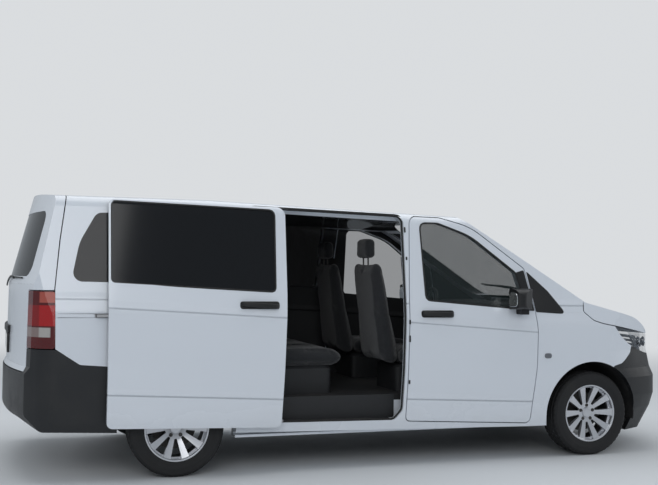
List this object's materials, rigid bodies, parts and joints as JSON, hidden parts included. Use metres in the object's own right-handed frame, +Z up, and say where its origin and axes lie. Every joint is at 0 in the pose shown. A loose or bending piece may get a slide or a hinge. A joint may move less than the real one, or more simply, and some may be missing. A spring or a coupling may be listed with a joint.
{
  "type": "minibus",
  "caption": "Long body passenger minibus with a sliding side door standing open, hinged front doors, bonnet and tailgate, steered front wheels and dark rear windows.",
  "frame": {"origin": "on the ground under the middle of the vehicle", "axes": "+X forward, +Y to the vehicle's left, +Z up"},
  "size_m": [5.2, 2.2524, 1.9025],
  "materials": {
    "paint": "gloss",
    "black_plastic": "satin",
    "glass_dark": "polished",
    "glass_clear": "polished",
    "lamp_clear": "polished",
    "lamp_red": "polished",
    "cloth": "matte",
    "trim": "matte",
    "underbody": "matte",
    "steel": "satin",
    "iron": "matte",
    "alloy": "satin",
    "rubber": "matte",
    "tank_plastic": "matte"
  },
  "bodies": {
    "body_shell": {"side_panel_right": "paint", "side_panel_left": "paint", "roof_panel": "paint", "windscreen": "glass_clear", "side_glass_right": "glass_dark", "side_glass_left": "glass_dark", "sliding_door": "paint", "sliding_door_glass": "glass_dark", "door_rails": "steel", "scuttle": "black_plastic", "wing_right": "paint", "wing_left": "paint", "front_bumper": "black_plastic", "headlamps": "lamp_clear", "grille": "black_plastic", "rear_bumper": "black_plastic", "tail_lamps": "lamp_red", "floor_pan": "underbody", "bulkhead": "underbody", "dashboard": "trim", "driver_seat": "cloth", "passenger_seat": "cloth", "second_row": "cloth", "third_row": "cloth", "engine_block": "iron", "fuel_tank": "tank_plastic", "exhaust": "steel", "front_subframe": "underbody", "rear_axle": "iron"},
    "right_front_door": {"front_door_right": "paint", "door_glass_right": "glass_clear", "mirror_right": "black_plastic"},
    "left_front_door": {"front_door_left": "paint", "door_glass_left": "glass_clear", "mirror_left": "black_plastic"},
    "bonnet_lid": {"bonnet": "paint"},
    "rear_gate": {"tailgate": "paint", "tailgate_glass": "glass_dark"},
    "steering_hand_wheel": {"steering_wheel": "trim"},
    "right_knuckle": {"knuckle_right": "iron"},
    "left_knuckle": {"knuckle_left": "iron"},
    "front_right_wheel": {"tyre_front_right": "rubber", "rim_front_right": "alloy"},
    "front_left_wheel": {"tyre_front_left": "rubber", "rim_front_left": "alloy"},
    "rear_right_wheel": {"tyre_rear_right": "rubber", "rim_rear_right": "alloy"},
    "rear_left_wheel": {"tyre_rear_left": "rubber", "rim_rear_left": "alloy"}
  },
  "joints": [
    {"name": "right_front_door_hinge", "type": "hinge", "parent": "body_shell", "child": "right_front_door", "pos_m": [1.163, -0.9415, 0.8], "axis": [0, 0, 1], "range_deg": [0, 65]},
    {"name": "left_front_door_hinge", "type": "hinge", "parent": "body_shell", "child": "left_front_door", "pos_m": [1.163, 0.9415, 0.8], "axis": [0, 0, -1], "range_deg": [0, 65]},
    {"name": "bonnet_hinge", "type": "hinge", "parent": "body_shell", "child": "bonnet_lid", "pos_m": [1.7, 0, 1.19], "axis": [0, -1, 0], "range_deg": [0, 55]},
    {"name": "tailgate_hinge", "type": "hinge", "parent": "body_shell", "child": "rear_gate", "pos_m": [-2.2355, 0, 1.915], "axis": [0, 1, 0], "range_deg": [0, 85]},
    {"name": "steering_wheel_turn", "type": "hinge", "parent": "body_shell", "child": "steering_hand_wheel", "pos_m": [0.915, 0.46, 1.075], "axis": [-0.8829, 0, 0.4695], "range_deg": [-490, 490]},
    {"name": "right_steering", "type": "hinge", "parent": "body_shell", "child": "right_knuckle", "pos_m": [1.705, -0.745, 0.2], "axis": [0, 0.2149, 0.9766], "range_deg": [-35, 35]},
    {"name": "left_steering", "type": "hinge", "parent": "body_shell", "child": "left_knuckle", "pos_m": [1.705, 0.745, 0.2], "axis": [0, -0.2149, 0.9766], "range_deg": [-35, 35]},
    {"name": "front_right_wheel_spin", "type": "hinge", "parent": "right_knuckle", "child": "front_right_wheel", "pos_m": [1.705, -0.833, 0.32], "axis": [0, 1, 0], "continuous": true},
    {"name": "front_left_wheel_spin", "type": "hinge", "parent": "left_knuckle", "child": "front_left_wheel", "pos_m": [1.705, 0.833, 0.32], "axis": [0, 1, 0], "continuous": true},
    {"name": "rear_right_wheel_spin", "type": "hinge", "parent": "body_shell", "child": "rear_right_wheel", "pos_m": [-1.495, -0.823, 0.32], "axis": [0, 1, 0], "continuous": true},
    {"name": "rear_left_wheel_spin", "type": "hinge", "parent": "body_shell", "child": "rear_left_wheel", "pos_m": [-1.495, 0.823, 0.32], "axis": [0, 1, 0], "continuous": true}
  ],
  "couplings": [
    {"joint": "right_steering", "follows": "steering_wheel_turn", "ratio": 0.071429},
    {"joint": "left_steering", "follows": "steering_wheel_turn", "ratio": 0.071429}
  ]
}
